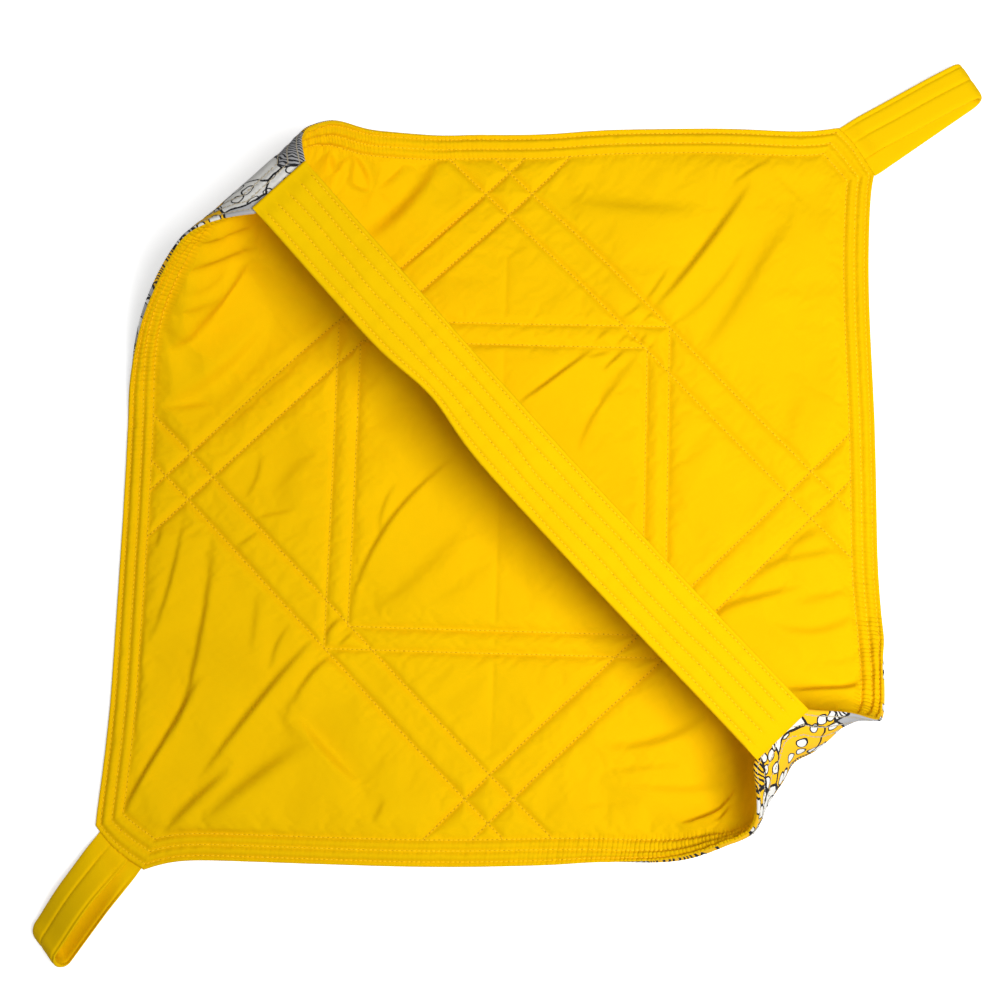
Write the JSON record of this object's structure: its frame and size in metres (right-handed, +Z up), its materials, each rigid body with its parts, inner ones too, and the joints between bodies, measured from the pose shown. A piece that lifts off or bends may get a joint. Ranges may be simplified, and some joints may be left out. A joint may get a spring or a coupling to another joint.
{
  "type": "casserole carrier",
  "caption": "Square quilted cloth carrier for a casserole dish: a wide strap joins opposite corners, which curl up to it, and the other corners end in fabric loop handles.",
  "frame": {"origin": "middle of the cloth's flat underside, on the surface that the carrier lies on", "axes": "+X from the left loop to the right loop, +Y along the strap to the taller curled corner, +Z up"},
  "size_m": [0.7702, 0.4637, 0.0995],
  "materials": {
    "outer_print": "printed plain-weave cotton, matt",
    "wadding": "fluffy insulating wadding, matt",
    "lining": "plain-weave yellow cotton, matt with a faint sheen",
    "strap_cotton": "folded and topstitched yellow cotton, matt with a faint sheen",
    "interlining": "stiff woven interlining, matt"
  },
  "bodies": {
    "base": {"outer_centre": "outer_print", "wadding_centre": "wadding", "lining_centre": "lining", "outer_far_wall": "outer_print", "wadding_far_wall": "wadding", "lining_far_wall": "lining", "outer_near_wall": "outer_print", "wadding_near_wall": "wadding", "lining_near_wall": "lining"},
    "strap": {"strap_sleeve": "strap_cotton", "strap_interlining": "interlining", "outer_far_crest": "outer_print", "wadding_far_crest": "wadding", "lining_far_crest": "lining", "outer_near_crest": "outer_print", "wadding_near_crest": "wadding", "lining_near_crest": "lining"},
    "right_flap": {"outer_right_flap": "outer_print", "wadding_right_flap": "wadding", "lining_right_flap": "lining"},
    "left_flap": {"outer_left_flap": "outer_print", "wadding_left_flap": "wadding", "lining_left_flap": "lining"},
    "right_loop": {"right_loop_sleeve": "strap_cotton", "right_loop_interlining": "interlining"},
    "left_loop": {"left_loop_sleeve": "strap_cotton", "left_loop_interlining": "interlining"}
  },
  "joints": [
    {"name": "strap_lift", "type": "slide", "parent": "base", "child": "strap", "axis": [0, 0, 1], "range_m": [0, 0.04]},
    {"name": "right_flap_fold", "type": "hinge", "parent": "base", "child": "right_flap", "pos_m": [0.144, 0, 0.0052], "axis": [0, -1, 0], "range_deg": [0, 100]},
    {"name": "left_flap_fold", "type": "hinge", "parent": "base", "child": "left_flap", "pos_m": [-0.144, 0, 0.0052], "axis": [0, 1, 0], "range_deg": [0, 100]},
    {"name": "right_loop_fold", "type": "hinge", "parent": "right_flap", "child": "right_loop", "pos_m": [0.30293, 0, 0.0055], "axis": [0, -1, 0], "range_deg": [0, 80]},
    {"name": "left_loop_fold", "type": "hinge", "parent": "left_flap", "child": "left_loop", "pos_m": [-0.30293, 0, 0.0055], "axis": [0, 1, 0], "range_deg": [0, 80]}
  ]
}
